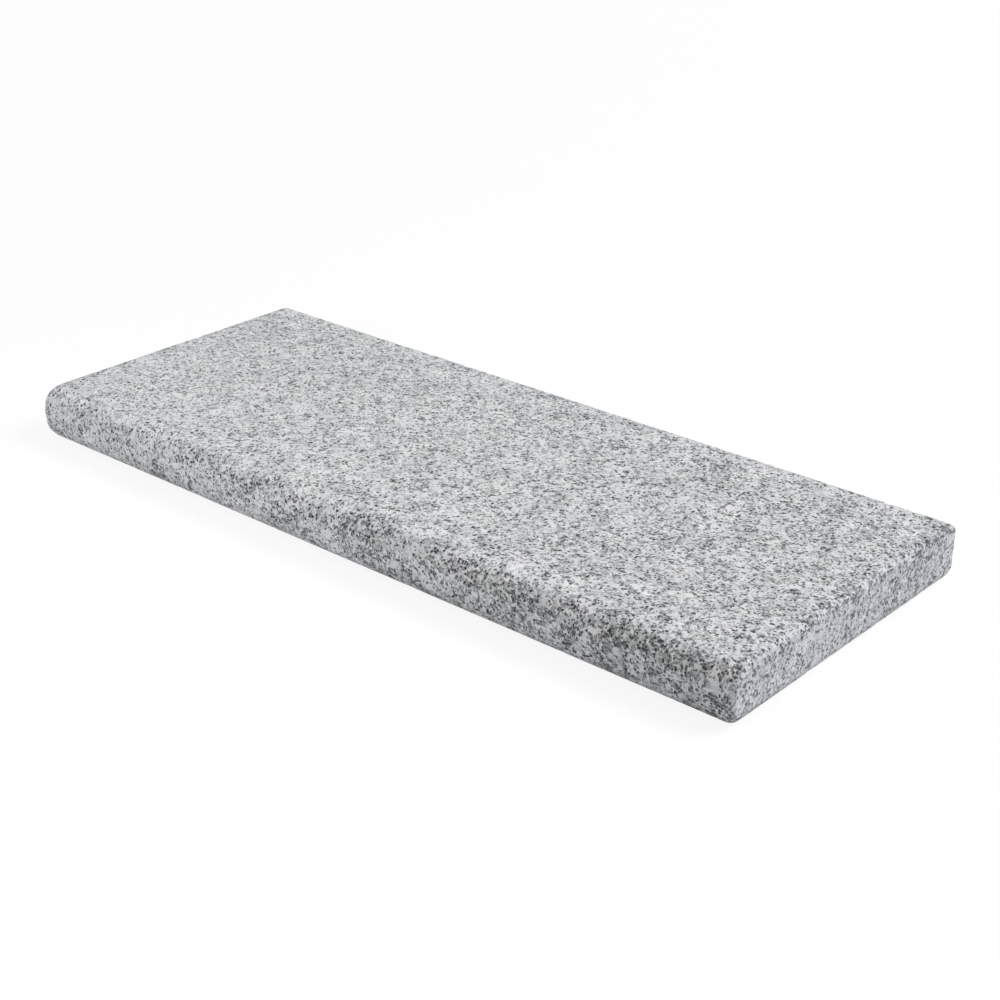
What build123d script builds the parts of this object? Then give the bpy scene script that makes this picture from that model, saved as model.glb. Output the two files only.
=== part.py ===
"""Granite pool coping stone: one sawn slab with a rounded nosing along its pool edge.

Millimetres, +Z up. X runs along the stone and +Y points away from the water, towards the
paving, so the nosing faces -Y. The origin is the middle of the underside.

The stone is what three outlines have in common: its cross-section drawn along the length,
its long elevation drawn through the width, and its plan drawn up through the thickness.
"""

from build123d import *

import os
from math import cos, radians, sin

# Overall size: a coping section 12 in wide and 2 in thick, 30 in long.
STONE_LENGTH = 762.0
STONE_WIDTH = 304.8
STONE_THICKNESS = 50.8

# Nosing, on the pool edge: two tight arcs and, between them, a shallow crowned arc that
# leans this far from upright where it meets each of them.
NOSE_TOP_RADIUS = 18.0
NOSE_BOTTOM_RADIUS = 19.0
NOSE_CROWN_LEAN = 8.0

# Paving edge, eased more on the bed side than on the walking side.
BACK_TOP_RADIUS = 8.0
BACK_BOTTOM_RADIUS = 15.5

# Ends, where one stone meets the next at a joint.
END_TOP_RADIUS = 4.5
END_BOTTOM_RADIUS = 12.5

# Upright corners, seen in plan.
CORNER_RADIUS = 1.5

# The crown spans the height that the two tight arcs leave to it.
crown_lean = radians(NOSE_CROWN_LEAN)
tight_turn = 90.0 - NOSE_CROWN_LEAN
tight_height = (NOSE_TOP_RADIUS + NOSE_BOTTOM_RADIUS) * (1.0 - sin(crown_lean))
crown_radius = (STONE_THICKNESS - tight_height) / (2.0 * sin(crown_lean))

# How far behind the foremost line of the nosing each tight arc runs into its flat face.
crown_depth = crown_radius * (1.0 - cos(crown_lean))
nose_top_reach = NOSE_TOP_RADIUS * cos(crown_lean) + crown_depth

with BuildPart() as coping_stone:
    # Cross-section: the nosing's three tangent arcs, then the bed, the back and the top
    with BuildSketch(Plane.YZ):
        with BuildLine():
            nose_top = JernArc(
                start=(nose_top_reach - STONE_WIDTH / 2, STONE_THICKNESS),
                tangent=(-1, 0),
                radius=NOSE_TOP_RADIUS,
                arc_size=tight_turn,
            )
            nose_crown = JernArc(
                start=nose_top @ 1,
                tangent=nose_top % 1,
                radius=crown_radius,
                arc_size=2.0 * NOSE_CROWN_LEAN,
            )
            nose_bottom = JernArc(
                start=nose_crown @ 1,
                tangent=nose_crown % 1,
                radius=NOSE_BOTTOM_RADIUS,
                arc_size=tight_turn,
            )
            FilletPolyline(
                nose_bottom @ 1,
                (STONE_WIDTH / 2, 0),
                (STONE_WIDTH / 2, STONE_THICKNESS),
                nose_top @ 0,
                radius=[BACK_BOTTOM_RADIUS, BACK_TOP_RADIUS],
            )
        make_face()
    extrude(amount=STONE_LENGTH / 2, both=True)

    # Long elevation: each end is eased lightly at the top and deeply at the bed
    with BuildSketch(Plane.XZ):
        with Locations((0, STONE_THICKNESS / 2)):
            Rectangle(STONE_LENGTH, STONE_THICKNESS)
        fillet(vertices().group_by(Axis.Y)[-1], radius=END_TOP_RADIUS)
        fillet(vertices().group_by(Axis.Y)[0], radius=END_BOTTOM_RADIUS)
    extrude(amount=STONE_WIDTH, both=True, mode=Mode.INTERSECT)

    # Plan: the four upright corners are only just taken off
    with BuildSketch(Plane.XY):
        RectangleRounded(STONE_LENGTH, STONE_WIDTH, CORNER_RADIUS)
    extrude(amount=STONE_THICKNESS, mode=Mode.INTERSECT)

coping_stone.part.label = "coping_stone"

os.makedirs("parts", exist_ok=True)
export_step(coping_stone.part, "parts/coping_stone.step")
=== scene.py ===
"""Granite pool coping stone: the looks of one slab with a flamed top and a worked nosing.

Metres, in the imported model's frame: +Z up, X along the stone, and the nosing faces -Y.
"""

import math

import bpy
import numpy as np
from mathutils import Matrix, Vector, noise


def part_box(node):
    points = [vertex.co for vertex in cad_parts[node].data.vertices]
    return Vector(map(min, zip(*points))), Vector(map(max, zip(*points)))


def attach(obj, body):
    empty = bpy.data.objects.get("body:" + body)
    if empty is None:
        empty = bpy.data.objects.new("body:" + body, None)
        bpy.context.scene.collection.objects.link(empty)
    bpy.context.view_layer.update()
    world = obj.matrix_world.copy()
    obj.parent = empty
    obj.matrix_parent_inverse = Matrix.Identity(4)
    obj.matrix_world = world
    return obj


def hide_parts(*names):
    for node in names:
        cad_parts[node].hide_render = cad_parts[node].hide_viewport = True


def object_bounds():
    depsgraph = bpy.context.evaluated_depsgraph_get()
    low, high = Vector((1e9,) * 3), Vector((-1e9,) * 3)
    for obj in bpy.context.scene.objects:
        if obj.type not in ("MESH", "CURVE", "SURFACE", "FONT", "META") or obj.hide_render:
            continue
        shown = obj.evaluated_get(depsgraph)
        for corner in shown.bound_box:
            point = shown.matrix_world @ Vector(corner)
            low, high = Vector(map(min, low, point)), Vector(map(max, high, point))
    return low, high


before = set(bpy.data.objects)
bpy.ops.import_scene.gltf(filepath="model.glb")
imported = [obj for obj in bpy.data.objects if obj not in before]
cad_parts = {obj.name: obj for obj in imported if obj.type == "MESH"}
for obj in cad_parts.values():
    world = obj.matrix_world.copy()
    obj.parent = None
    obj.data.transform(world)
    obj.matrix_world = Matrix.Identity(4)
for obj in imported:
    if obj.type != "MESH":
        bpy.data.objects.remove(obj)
cad_low, cad_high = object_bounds()

MM = 0.001
SLAB = "coping_stone"

# Edges of the slab, as they are on the solid that the dressed stone stands for
NOSE_TOP_RADIUS = 18.0 * MM
NOSE_BOTTOM_RADIUS = 19.0 * MM
NOSE_CROWN = 0.7 * MM
BACK_TOP_RADIUS = 8.0 * MM
BACK_BOTTOM_RADIUS = 15.5 * MM
END_TOP_RADIUS = 4.5 * MM
END_BOTTOM_RADIUS = 12.5 * MM
CORNER_RADIUS = 1.5 * MM

# How much rounder each end's edges are, burst by the flame and worn, than the solid's sawn ones
RIGHT_WEAR = 1.5 * MM
LEFT_WEAR = 0.2 * MM

# Widest quad of the dressed stone's skin
SKIN_CELL = 2.46 * MM

# Relief: how long its bumps are, and how deep they go below the slab's true faces
WAVE_LENGTH = 48.0 * MM
WAVE_DEPTH = 0.35 * MM
SPALL_LENGTH = 7.0 * MM
SPALL_DEPTH = 0.45 * MM
CHIP_LENGTH = 11.0 * MM
CHIP_DEPTH = 1.6 * MM

# Chips form only where their noise is over this level
CHIP_LEVEL = 0.22

# Share of the relief that the sawn underside lacks
SAWN_SMOOTHNESS = 0.9

# How far apart the noises of two seeds lie, in bumps
SEED_STEP = 17.3

# Keeps a division away from zero
TINY = 1e-9


def linear(hex_colour):
    """An sRGB hex colour as linear red, green, blue and alpha."""
    levels = [int(hex_colour[i : i + 2], 16) / 255 for i in (1, 3, 5)]
    return [s / 12.92 if s <= 0.04045 else ((s + 0.055) / 1.055) ** 2.4 for s in levels] + [1.0]


# Numbered sockets: Math and Vector Math nodes work on 0, 1 and 2. A Mix node goes from 6 to 7 and
# gives 2 when it mixes colours, and goes from 2 to 3 and gives 0 when it mixes plain values.
def add(tree, kind, settings=None, inputs=None, stops=()):
    """Adds a node with its settings, sets or links its inputs, and fills a ramp's colour stops."""
    made = tree.nodes.new(kind)
    for name, value in (settings or {}).items():
        setattr(made, name, value)
    for socket, value in (inputs or {}).items():
        if isinstance(value, bpy.types.NodeSocket):
            tree.links.new(value, made.inputs[socket])
        else:
            made.inputs[socket].default_value = value
    for number, (position, colour) in enumerate(stops):
        band = made.color_ramp.elements
        stop = band[number] if number < 2 else band.new(position)
        stop.position = position
        stop.color = linear(colour)
    return made


# The stone's form


def box_skin(counts):
    """Lattice corners and quads of the skin of a block that many cells long, wide and high."""
    steps = [np.arange(count + 1) for count in counts]
    lattice = np.stack(np.meshgrid(*steps, indexing="ij"), -1)
    on_skin = ((lattice == 0) | (lattice == counts)).any(-1)
    number = np.zeros(on_skin.shape, int)
    number[on_skin] = np.arange(on_skin.sum())
    quads = []
    for axis in range(3):
        for end in (0, -1):
            sheet = np.take(number, end, axis=axis)
            ring = [sheet[:-1, :-1], sheet[1:, :-1], sheet[1:, 1:], sheet[:-1, 1:]]

            # Some sheets run the other way round, and every quad has to face outward
            if (end == 0) != (axis == 1):
                ring.reverse()
            quads.append(np.stack(ring, -1).reshape(-1, 4))
    return lattice[on_skin], np.concatenate(quads)


def section_distance(y, z, half_width, half_height):
    """Signed distance to the round-cornered section, and the outward direction, at each point."""
    nose_radius = np.where(z > 0, NOSE_TOP_RADIUS, NOSE_BOTTOM_RADIUS)
    back_radius = np.where(z > 0, BACK_TOP_RADIUS, BACK_BOTTOM_RADIUS)
    radius = np.where(y < 0, nose_radius, back_radius)

    # How far each point is past the middle of its corner's arc, sideways and upright
    past_y = np.abs(y) - half_width + radius
    past_z = np.abs(z) - half_height + radius
    over_y = np.maximum(past_y, 0.0)
    over_z = np.maximum(past_z, 0.0)
    reach = np.hypot(over_y, over_z)
    inside = (past_y <= 0) & (past_z <= 0)
    distance = np.where(inside, np.maximum(past_y, past_z), reach) - radius
    out_y = np.where(inside, past_y > past_z, over_y / np.maximum(reach, TINY)) * np.sign(y)
    out_z = np.where(inside, past_z >= past_y, over_z / np.maximum(reach, TINY)) * np.sign(z)
    return distance, out_y, out_z


def worked_form(points, half):
    """Pulls block points, measured from its middle, on to the worked section and eased ends."""
    x, y, z = points.T
    distance, out_y, out_z = section_distance(y, z, half[1], half[2])
    outside = np.maximum(distance, 0.0)
    y = y - out_y * outside
    z = z - out_z * outside

    # The end rounding runs round the whole section, wide at the bed and tight on the uprights
    distance, out_y, out_z = section_distance(y, z, half[1], half[2])
    up_ease = END_TOP_RADIUS * np.maximum(out_z, 0.0) ** 2
    down_ease = END_BOTTOM_RADIUS * np.maximum(-out_z, 0.0) ** 2
    side_ease = CORNER_RADIUS * out_y**2
    ease = up_ease + down_ease + side_ease + np.where(x > 0, RIGHT_WEAR, LEFT_WEAR)
    to_end = ease - (half[0] - np.abs(x))
    to_side = ease + distance
    on_edge = (to_end > 0) & (to_side > 0)
    pull = np.where(on_edge, 1 - ease / np.maximum(np.hypot(to_end, to_side), TINY), 0.0)
    x = x - np.sign(x) * to_end * pull
    y = y - out_y * to_side * pull
    z = z - out_z * to_side * pull

    # The nosing's face is a shallow crown, which falls back to the tight arcs above and below it
    nose_middle = (NOSE_BOTTOM_RADIUS - NOSE_TOP_RADIUS) / 2
    face_half = half[2] - (NOSE_BOTTOM_RADIUS + NOSE_TOP_RADIUS) / 2
    off_middle = np.minimum(np.abs(z - nose_middle) / face_half, 1.0)
    behind_nose = y + half[1]
    on_nosing = np.clip(2.0 - behind_nose / NOSE_BOTTOM_RADIUS, 0.0, 1.0)
    y = y + NOSE_CROWN * off_middle**2 * on_nosing
    return np.stack([x, y, z], -1)


def noise_at(points, length, seed):
    """Smooth noise, about -1 to 1, whose bumps are about that long."""
    scaled = points / length + seed * SEED_STEP
    return np.array([noise.noise(Vector(point)) for point in scaled])


def vertex_vectors(mesh, name):
    """The mesh's vertex positions or normals as an array."""
    values = np.zeros(len(mesh.vertices) * 3, np.float32)
    mesh.vertices.foreach_get(name, values)
    return values.reshape(-1, 3).astype(float)


def dressed_depth(points, normals):
    """How far each point lies below the slab's true face: waves, flame spalls and chips."""
    waves = 0.5 + 0.5 * noise_at(points, WAVE_LENGTH, 1)
    spalls = np.abs(noise_at(points, SPALL_LENGTH, 2))

    # 0 on a face, and 1 where the skin turns from one face to the next
    facing = np.sort(np.abs(normals), axis=1)
    on_arris = np.clip(2 * facing[:, 1] / facing[:, 2] - 0.2, 0.0, 1.0)
    chips = np.clip(noise_at(points, CHIP_LENGTH, 3) - CHIP_LEVEL, 0.0, 1.0) * on_arris
    relief = WAVE_DEPTH * waves + SPALL_DEPTH * spalls + CHIP_DEPTH * chips

    # 1 on the underside, and 0 on all that faces less than 30 degrees down
    sawn = np.clip(-2 * normals[:, 2] - 1, 0.0, 1.0)
    return relief * (1 - SAWN_SMOOTHNESS * sawn)


def dressed_stone():
    """The stone's skin: the slab's form with its dressed relief, as one closed mesh."""
    low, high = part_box(SLAB)
    size = np.array(high - low)
    middle = np.array(low + high) / 2
    counts = np.ceil(size / SKIN_CELL).astype(int)
    corners, quads = box_skin(counts)
    form = worked_form((corners / counts - 0.5) * size, size / 2)
    mesh = bpy.data.meshes.new("dressed_stone")
    mesh.from_pydata((form + middle).tolist(), [], quads.tolist())
    mesh.update()
    points = vertex_vectors(mesh, "co")
    normals = vertex_vectors(mesh, "normal")
    dressed = points - normals * dressed_depth(points, normals)[:, None]
    mesh.vertices.foreach_set("co", dressed.astype(np.float32).ravel())
    mesh.polygons.foreach_set("use_smooth", np.ones(len(mesh.polygons), bool))
    mesh.update()
    stone = bpy.data.objects.new("dressed_stone", mesh)
    bpy.context.scene.collection.objects.link(stone)
    return stone


# The stone's finish

# Sizes of the grains and of their patterns in millimetres
GRAIN = 2.8
FLAKE = 2.1
FLECK = 1.5
CLUSTER = 7.0
PATCH = 26.0
TINT_PATCH = 22.0
RAGGED = 1.8
RAGGED_SHIFT = 2.1
CLOUD = 1.3
PIT = 1.6
PIT_DEPTH = 0.5
SAW_MARK = 4.0

# Half length, half width and height of the slab in millimetres
END_AT, NOSE_AT, TOP_AT = np.array([cad_high[0], -cad_low[1], cad_high[2]]) / MM

# Millimetres behind the nosing's foremost line at which the dark streak, more dark grains and
# partly painted shade, is full, and gone
STREAK_FULL = 2.0
STREAK_GONE = 17.0

# Millimetres from a top end arris at which its extra dark grains are full, and gone
ARRIS_FULL = 3.0
ARRIS_GONE = 10.0

# How far in from the block's sharp edge that worn arris lies, in millimetres
ARRIS_INSET = 1.0

# Heights in millimetres at which the underside's saw marks are full, and gone
SAWN_FULL = 0.4
SAWN_GONE = 1.2

# Radians that a wave texture turns through for each unit of its scaled length
WAVE_TURN = 20.0

# Height of the saw marks, where a pit's is 1
SAW_MARK_HEIGHT = 0.12

# How many fewer flakes the sawn ends show, as a share of all grains, and how much fainter ones
END_FEWER = 0.06
END_FAINTER = 0.15

# How strongly the clouds in a pale grain vary its tone, and how far they shift it to the pale side
CLOUD_RANGE = 1.5
CLOUD_SHIFT = -0.92

# How much greyer the pale grains are for each share of mica among them
MICA_GREYING = 0.95

# Share of small flecks where there is no mica, and how much it rises with the mica's share
FLECK_SHARE = 0.1
FLECK_RISE = 0.4

# The tints' least red, green and blue, and how much more of each they may have
TINT_LEAST = (0.96, 0.97, 0.96)
TINT_RANGE = (0.08, 0.06, 0.08)

# How strongly painted cool light tints the faces that are turned to X, Y and Z
FACE_PAINTED_COOL_LIGHT = (1.0, 0.35, 0.0)


def speckle(tree, where, size, share):
    """Soft-edged grains of that size in mm: a mask over that share, and a second lot for each."""
    cells = add(tree, "ShaderNodeTexVoronoi", inputs={"Vector": where, "Scale": 1 / size})
    lots = add(tree, "ShaderNodeSeparateColor", inputs={0: cells.outputs["Color"]})

    # A grain shows where the share is over its first lot
    over = add(tree, "ShaderNodeMath", {"operation": "SUBTRACT"}, {0: share, 1: lots.outputs[0]})
    chosen = add(
        tree,
        "ShaderNodeMapRange",
        inputs={"Value": over.outputs[0], "From Min": -0.02, "From Max": 0.05},
    )

    # Its body is solid near the middle of its cell and has faded out at 0.86 of the cell's size
    body = add(
        tree,
        "ShaderNodeMapRange",
        inputs={"Value": cells.outputs["Distance"], "From Min": 0.86, "From Max": 0.42},
    )
    mask = add(
        tree,
        "ShaderNodeMath",
        {"operation": "MULTIPLY"},
        {0: chosen.outputs[0], 1: body.outputs[0]},
    )
    return mask.outputs[0], lots.outputs[1]


def nosing_streak_and_shade(tree, axes):
    """The dark streak's strength, more dark grains and partly painted shade: high on the nosing
    towards +X, low towards -X, 0 behind it.
    """
    nosing = add(
        tree,
        "ShaderNodeMapRange",
        {"interpolation_type": "SMOOTHSTEP"},
        {
            "Value": axes.outputs["Y"],
            "From Min": STREAK_GONE - NOSE_AT,
            "From Max": STREAK_FULL - NOSE_AT,
        },
    )
    # Its rise towards +X is partly more dark grains and partly painted shade where the light falls
    # off along the nosing
    along = add(
        tree,
        "ShaderNodeMapRange",
        {"interpolation_type": "SMOOTHSTEP"},
        {
            "Value": axes.outputs["X"],
            "From Min": -0.7 * END_AT,
            "From Max": 0.6 * END_AT,
            "To Min": 0.25,
            "To Max": 0.8,
        },
    )
    return add(
        tree,
        "ShaderNodeMath",
        {"operation": "MULTIPLY"},
        {0: nosing.outputs[0], 1: along.outputs[0]},
    ).outputs[0]


def dark_share(tree, where, axes, streak):
    """The share of dark grains: clustered, and fuller to +X, in the streak, where they also paint
    shade, and by end arrises.
    """
    gathering = add(
        tree, "ShaderNodeTexNoise", inputs={"Vector": where, "Scale": 1 / CLUSTER, "Detail": 2.0}
    )
    clusters = add(
        tree,
        "ShaderNodeMapRange",
        inputs={
            "Value": gathering.outputs["Fac"],
            "From Min": 0.33,
            "From Max": 0.70,
            "To Min": 0.05,
            "To Max": 0.37,
        },
    )
    patches = add(
        tree, "ShaderNodeTexNoise", inputs={"Vector": where, "Scale": 1 / PATCH, "Detail": 2.0}
    )
    fullness = add(
        tree,
        "ShaderNodeMapRange",
        inputs={
            "Value": patches.outputs["Fac"],
            "From Min": 0.25,
            "From Max": 0.75,
            "To Min": 0.5,
            "To Max": 1.5,
        },
    )
    patched = add(
        tree,
        "ShaderNodeMath",
        {"operation": "MULTIPLY"},
        {0: clusters.outputs[0], 1: fullness.outputs[0]},
    )
    along = add(
        tree,
        "ShaderNodeMapRange",
        inputs={
            "Value": axes.outputs["X"],
            "From Min": -END_AT,
            "From Max": END_AT,
            "To Min": 0.64,
            "To Max": 1.12,
        },
    )
    plain = add(
        tree,
        "ShaderNodeMath",
        {"operation": "MULTIPLY"},
        {0: patched.outputs[0], 1: along.outputs[0]},
    )

    # Distance from the top arris of the nearer end
    mirrored = add(tree, "ShaderNodeVectorMath", {"operation": "ABSOLUTE"}, {0: where})
    from_arris = add(
        tree,
        "ShaderNodeVectorMath",
        {"operation": "SUBTRACT"},
        {0: mirrored.outputs[0], 1: (END_AT - ARRIS_INSET, 0.0, TOP_AT - ARRIS_INSET)},
    )
    across = add(
        tree,
        "ShaderNodeVectorMath",
        {"operation": "MULTIPLY"},
        {0: from_arris.outputs[0], 1: (1.0, 0.0, 1.0)},
    )
    reach = add(tree, "ShaderNodeVectorMath", {"operation": "LENGTH"}, {0: across.outputs[0]})
    arris = add(
        tree,
        "ShaderNodeMapRange",
        {"interpolation_type": "SMOOTHSTEP"},
        {
            "Value": reach.outputs["Value"],
            "From Min": ARRIS_GONE,
            "From Max": ARRIS_FULL,
            "To Max": 0.7,
        },
    )

    # The streak and the arrises add dark grains in patches; in the streak they are also painted
    # shade
    worked = add(
        tree, "ShaderNodeMath", {"operation": "MAXIMUM"}, {0: streak, 1: arris.outputs[0]}
    )
    patchy = add(
        tree,
        "ShaderNodeMapRange",
        inputs={
            "Value": patches.outputs["Fac"],
            "From Min": 0.38,
            "From Max": 0.62,
            "To Min": 0.05,
            "To Max": 0.25,
        },
    )
    return add(
        tree,
        "ShaderNodeMath",
        {"operation": "MULTIPLY_ADD"},
        {0: worked.outputs[0], 1: patchy.outputs[0], 2: plain.outputs[0]},
    ).outputs[0]


def mineral_colour_and_painted_light(tree, where, ragged, axes, facing):
    """White feldspar and grey quartz with black mica, faintly tinted in patches, with painted shade
    on the nosing and painted cool light on the uprights.
    """
    streak = nosing_streak_and_shade(tree, axes)
    flamed_share = dark_share(tree, where, axes, streak)
    sides = add(tree, "ShaderNodeSeparateXYZ", inputs={0: facing})

    # The sawn ends show fewer flakes, and the saw has smeared those that it cut
    share = add(
        tree,
        "ShaderNodeMath",
        {"operation": "MULTIPLY_ADD"},
        {0: sides.outputs["X"], 1: -END_FEWER, 2: flamed_share},
    ).outputs[0]
    clearness = add(
        tree,
        "ShaderNodeMath",
        {"operation": "MULTIPLY_ADD"},
        {0: sides.outputs["X"], 1: -END_FAINTER, 2: 1.0},
    )

    # Feldspar and quartz: a tone for each grain, clouded inside, and greyer among the mica
    grains = add(tree, "ShaderNodeTexVoronoi", inputs={"Vector": ragged, "Scale": 1 / GRAIN})
    tones = add(tree, "ShaderNodeSeparateColor", inputs={0: grains.outputs["Color"]})
    cloud = add(
        tree, "ShaderNodeTexNoise", inputs={"Vector": where, "Scale": 1 / CLOUD, "Detail": 3.0}
    )
    shifted = add(
        tree,
        "ShaderNodeMath",
        {"operation": "MULTIPLY_ADD"},
        {0: cloud.outputs["Fac"], 1: CLOUD_RANGE, 2: CLOUD_SHIFT},
    )
    clouded = add(
        tree, "ShaderNodeMath", {"operation": "ADD"}, {0: tones.outputs[0], 1: shifted.outputs[0]}
    )
    greyer = add(
        tree,
        "ShaderNodeMath",
        {"operation": "MULTIPLY_ADD"},
        {0: share, 1: MICA_GREYING, 2: clouded.outputs[0]},
    )
    ground = add(
        tree,
        "ShaderNodeValToRGB",
        inputs={"Fac": greyer.outputs[0]},
        stops=[
            (0.0, "#dddfe0"),
            (0.4, "#d2d4d6"),
            (0.65, "#c8cacb"),
            (0.85, "#b4b6b8"),
            (1.0, "#979a9b"),
        ],
    )

    # Small grey flecks, and over them the black flakes of mica
    small_share = add(
        tree,
        "ShaderNodeMath",
        {"operation": "MULTIPLY_ADD"},
        {0: share, 1: FLECK_RISE, 2: FLECK_SHARE},
    )
    flecks, _ = speckle(tree, ragged, FLECK, small_share.outputs[0])
    with_flecks = add(
        tree,
        "ShaderNodeMix",
        {"data_type": "RGBA"},
        {"Factor": flecks, 6: ground.outputs["Color"], 7: linear("#6c6e71")},
    )
    flakes, flake_lot = speckle(tree, ragged, FLAKE, share)
    mica = add(
        tree,
        "ShaderNodeValToRGB",
        inputs={"Fac": flake_lot},
        stops=[(0.0, "#1b1c1e"), (0.5, "#393b3d"), (1.0, "#707275")],
    )
    clear_flakes = add(
        tree, "ShaderNodeMath", {"operation": "MULTIPLY"}, {0: flakes, 1: clearness.outputs[0]}
    )
    with_mica = add(
        tree,
        "ShaderNodeMix",
        {"data_type": "RGBA"},
        {"Factor": clear_flakes.outputs[0], 6: with_flecks.outputs[2], 7: mica.outputs["Color"]},
    )

    # Faint patches: warm or cool, paler or darker
    patches = add(
        tree, "ShaderNodeTexNoise", inputs={"Vector": where, "Scale": 1 / TINT_PATCH, "Detail": 2.0}
    )
    tint = add(
        tree,
        "ShaderNodeVectorMath",
        {"operation": "MULTIPLY_ADD"},
        {0: patches.outputs["Color"], 1: TINT_RANGE, 2: TINT_LEAST},
    )
    tone = add(
        tree,
        "ShaderNodeMapRange",
        inputs={
            "Value": patches.outputs["Fac"],
            "From Min": 0.25,
            "From Max": 0.75,
            "To Min": 0.88,
            "To Max": 1.12,
        },
    )
    toned = add(
        tree,
        "ShaderNodeVectorMath",
        {"operation": "SCALE"},
        {0: tint.outputs[0], "Scale": tone.outputs[0]},
    )
    tinted = add(
        tree,
        "ShaderNodeMix",
        {"data_type": "RGBA", "blend_type": "MULTIPLY"},
        {"Factor": 1.0, 6: with_mica.outputs[2], 7: toned.outputs[0]},
    )

    # The streak's upper side carries a faint brownish painted shade, which darkens and warms it
    upper = add(
        tree,
        "ShaderNodeMapRange",
        {"interpolation_type": "SMOOTHSTEP"},
        {"Value": axes.outputs["Z"], "From Min": 0.5 * TOP_AT, "From Max": 0.8 * TOP_AT},
    )
    on_painted_shade = add(
        tree, "ShaderNodeMath", {"operation": "MULTIPLY"}, {0: streak, 1: upper.outputs[0]}
    )
    with_painted_shade = add(
        tree,
        "ShaderNodeMix",
        {"data_type": "RGBA", "blend_type": "MULTIPLY"},
        {"Factor": on_painted_shade.outputs[0], 6: tinted.outputs[2], 7: linear("#faf8f5")},
    )

    # Painted cool light: the uprights, the ends most of all, are tinted cooler than the flamed top
    # by the way they face
    painted_cool_light = add(
        tree, "ShaderNodeVectorMath", {"operation": "DOT_PRODUCT"}, {0: facing, 1: FACE_PAINTED_COOL_LIGHT}
    )
    return add(
        tree,
        "ShaderNodeMix",
        {"data_type": "RGBA", "blend_type": "MULTIPLY"},
        {"Factor": painted_cool_light.outputs["Value"], 6: with_painted_shade.outputs[2], 7: linear("#f7f8fd")},
    ).outputs[2]


def grain_relief(tree, where, axes):
    """Bump normals: burst grains on the flamed faces, and faint saw marks on the underside."""
    pits = add(
        tree, "ShaderNodeTexNoise", inputs={"Vector": where, "Scale": 1 / PIT, "Detail": 3.0}
    )
    marks = add(
        tree,
        "ShaderNodeTexWave",
        inputs={
            "Vector": where,
            "Scale": math.tau / WAVE_TURN / SAW_MARK,
            "Distortion": 1.5,
            "Detail": 1.0,
        },
    )
    faint = add(
        tree,
        "ShaderNodeMath",
        {"operation": "MULTIPLY"},
        {0: marks.outputs["Fac"], 1: SAW_MARK_HEIGHT},
    )
    underside = add(
        tree,
        "ShaderNodeMapRange",
        inputs={"Value": axes.outputs["Z"], "From Min": SAWN_GONE, "From Max": SAWN_FULL},
    )
    height = add(
        tree,
        "ShaderNodeMix",
        inputs={"Factor": underside.outputs[0], 2: pits.outputs["Fac"], 3: faint.outputs[0]},
    )
    return add(
        tree,
        "ShaderNodeBump",
        inputs={"Strength": 0.65, "Distance": PIT_DEPTH * MM, "Height": height.outputs[0]},
    ).outputs["Normal"]


def flamed_granite():
    """The stone's material: granite, sawn and then flamed."""
    # The flame has burst the surface grains, so the stone looks matt and finely rough, with pale
    # feldspar, grey quartz and black mica lying sharp beside each other
    material = bpy.data.materials.new("flamed_granite")
    material.use_nodes = True
    tree = material.node_tree
    tree.nodes.clear()
    place = add(tree, "ShaderNodeTexCoord")
    where = add(
        tree,
        "ShaderNodeVectorMath",
        {"operation": "SCALE"},
        {0: place.outputs["Object"], "Scale": 1 / MM},
    ).outputs[0]
    axes = add(tree, "ShaderNodeSeparateXYZ", inputs={0: where})
    facing = add(
        tree, "ShaderNodeVectorMath", {"operation": "ABSOLUTE"}, {0: place.outputs["Normal"]}
    ).outputs[0]

    # Grain borders are ragged, so fine noise pushes each border about
    push = add(
        tree, "ShaderNodeTexNoise", inputs={"Vector": where, "Scale": 1 / RAGGED, "Detail": 2.0}
    )
    centred = add(
        tree,
        "ShaderNodeVectorMath",
        {"operation": "SUBTRACT"},
        {0: push.outputs["Color"], 1: (0.5, 0.5, 0.5)},
    )
    shift = add(
        tree,
        "ShaderNodeVectorMath",
        {"operation": "SCALE"},
        {0: centred.outputs[0], "Scale": RAGGED_SHIFT},
    )
    ragged = add(
        tree, "ShaderNodeVectorMath", {"operation": "ADD"}, {0: where, 1: shift.outputs[0]}
    ).outputs[0]

    surface = add(
        tree,
        "ShaderNodeBsdfPrincipled",
        inputs={
            "Base Color": mineral_colour_and_painted_light(tree, where, ragged, axes, facing),
            "Roughness": 0.8,
            "IOR": 1.54,
            "Specular IOR Level": 0.3,
            "Normal": grain_relief(tree, where, axes),
        },
    )
    add(tree, "ShaderNodeOutputMaterial", inputs={"Surface": surface.outputs[0]})
    return material


stone = dressed_stone()
stone.data.materials.append(flamed_granite())
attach(stone, "root")
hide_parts(SLAB)


# Floor, light and camera

FLOOR_SIZE = 40.0
WORLD_STRENGTH = 0.445

# The floor's share of plain white near the stone, and the distances between which it rises to 1
FLOOR_WHITE = 0.88
FLOOR_NEAR = 1.0
FLOOR_FAR = 3.5

# The photograph's camera, solved from the stone's outline: its place in metres, its turns in
# degrees, and its lens and sensor in millimetres
CAMERA_PLACE = (0.96753, -1.0650, 0.6871)
CAMERA_TURN = 41.05
CAMERA_DIP = 25.39
CAMERA_ROLL = 0.21
CAMERA_LENS = 67.04
CAMERA_SENSOR = 36.0


def seen_directly(tree):
    """1 for rays that show the backdrop itself: camera, mirror-like and see-through rays."""
    rays = add(tree, "ShaderNodeLightPath")
    first = add(
        tree,
        "ShaderNodeMath",
        {"operation": "MAXIMUM"},
        {0: rays.outputs["Is Camera Ray"], 1: rays.outputs["Is Glossy Ray"]},
    )
    return add(
        tree,
        "ShaderNodeMath",
        {"operation": "MAXIMUM"},
        {0: first.outputs[0], 1: rays.outputs["Is Transmission Ray"]},
    ).outputs[0]


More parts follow.
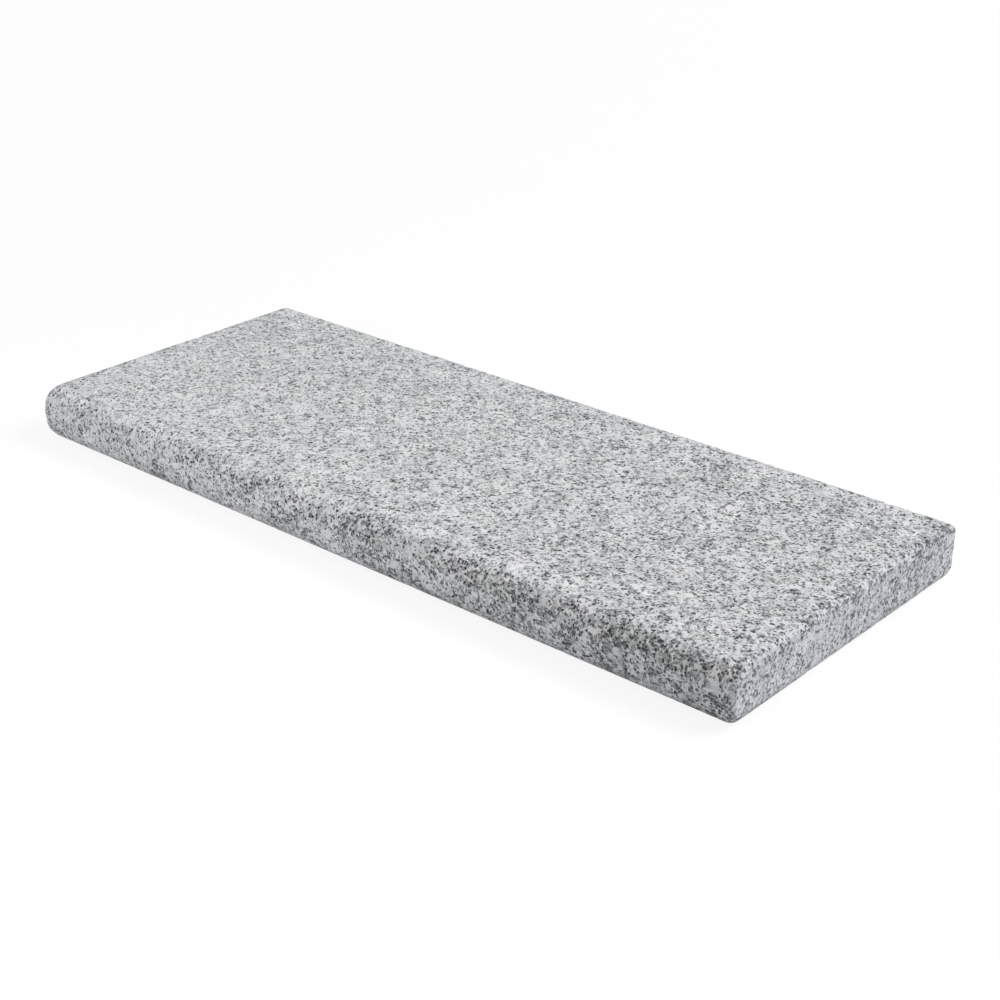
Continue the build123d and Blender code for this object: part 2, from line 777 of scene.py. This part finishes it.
def studio_floor():
    """A pale matt floor that looks white and keeps the stone's soft shadow."""
    half = FLOOR_SIZE / 2
    corners = [(-half, -half, 0), (half, -half, 0), (half, half, 0), (-half, half, 0)]
    mesh = bpy.data.meshes.new("floor")
    mesh.from_pydata(corners, [], [(0, 1, 2, 3)])
    floor = bpy.data.objects.new("floor", mesh)
    bpy.context.scene.collection.objects.link(floor)

    # Matt paint, which shows the eye no gloss and no mirror image, only the stone's shadow
    material = bpy.data.materials.new("white_floor")
    material.use_nodes = True
    tree = material.node_tree
    tree.nodes.clear()
    seen = seen_directly(tree)

    # The floor looks white but throws back the light of a grey one on to the stone
    paint = add(
        tree,
        "ShaderNodeMix",
        {"data_type": "RGBA"},
        {"Factor": seen, 6: linear("#c0c0c0"), 7: linear("#ffffff")},
    )
    matt = add(tree, "ShaderNodeBsdfDiffuse", inputs={"Color": paint.outputs[2]})
    white = add(tree, "ShaderNodeEmission", inputs={"Strength": 1.0})

    # The floor's own shading dies away from the stone, so no horizon shows
    spot = add(tree, "ShaderNodeTexCoord")
    away = add(tree, "ShaderNodeVectorMath", {"operation": "LENGTH"}, {0: spot.outputs["Object"]})
    glow = add(
        tree,
        "ShaderNodeMapRange",
        inputs={
            "Value": away.outputs["Value"],
            "From Min": FLOOR_NEAR,
            "From Max": FLOOR_FAR,
            "To Min": FLOOR_WHITE,
        },
    )
    share = add(tree, "ShaderNodeMath", {"operation": "MULTIPLY"}, {0: seen, 1: glow.outputs[0]})
    mixed = add(
        tree,
        "ShaderNodeMixShader",
        inputs={0: share.outputs[0], 1: matt.outputs[0], 2: white.outputs[0]},
    )
    add(tree, "ShaderNodeOutputMaterial", inputs={"Surface": mixed.outputs[0]})
    mesh.materials.append(material)


def studio_world():
    """Even daylight-like fill, and a white backdrop where it is seen directly."""
    world = bpy.data.worlds.new("studio")
    bpy.context.scene.world = world
    world.use_nodes = True
    tree = world.node_tree
    tree.nodes.clear()
    strength = add(
        tree,
        "ShaderNodeMapRange",
        inputs={"Value": seen_directly(tree), "To Min": WORLD_STRENGTH},
    )
    background = add(
        tree,
        "ShaderNodeBackground",
        inputs={"Color": (1.0, 1.0, 1.0, 1.0), "Strength": strength.outputs[0]},
    )
    add(tree, "ShaderNodeOutputWorld", inputs={"Surface": background.outputs[0]})


def soft_light(name, place, aim, width, level):
    """A square lamp that lights a face turned to it at the aim to that share of a plain level."""
    lamp = bpy.data.lights.new(name, "AREA")
    lamp.shape = "SQUARE"
    lamp.size = width
    back = Vector(place) - Vector(aim)

    # The aim gets the power over pi times the squared distance, and a plain level there is pi
    lamp.energy = level * math.pi**2 * back.length**2
    holder = bpy.data.objects.new(name, lamp)
    bpy.context.scene.collection.objects.link(holder)
    holder.location = place
    holder.rotation_euler = back.to_track_quat("Z", "Y").to_euler()
    holder.visible_camera = False


def photo_camera():
    """The photograph's view of the stone."""
    data = bpy.data.cameras.new("camera")
    data.sensor_width = CAMERA_SENSOR
    data.lens = CAMERA_LENS
    camera = bpy.data.objects.new("camera", data)
    bpy.context.scene.collection.objects.link(camera)
    place = Matrix.Translation(CAMERA_PLACE)
    turn = Matrix.Rotation(math.radians(CAMERA_TURN), 4, "Z")
    tilt = Matrix.Rotation(math.radians(90 - CAMERA_DIP), 4, "X")
    roll = Matrix.Rotation(math.radians(CAMERA_ROLL), 4, "Z")
    camera.matrix_world = place @ turn @ tilt @ roll
    bpy.context.scene.camera = camera


studio_floor()
studio_world()

# The key shines from high behind the right end, and the fill from low before the nosing
soft_light("key", place=(3.10, 2.07, 3.80), aim=(0.0, 0.0, 0.0), width=2.2, level=0.74)
soft_light("fill", place=(-0.16, -0.81, 0.28), aim=(-0.16, -0.15, 0.03), width=0.4, level=0.44)
photo_camera()
bpy.context.scene.view_settings.view_transform = "Standard"
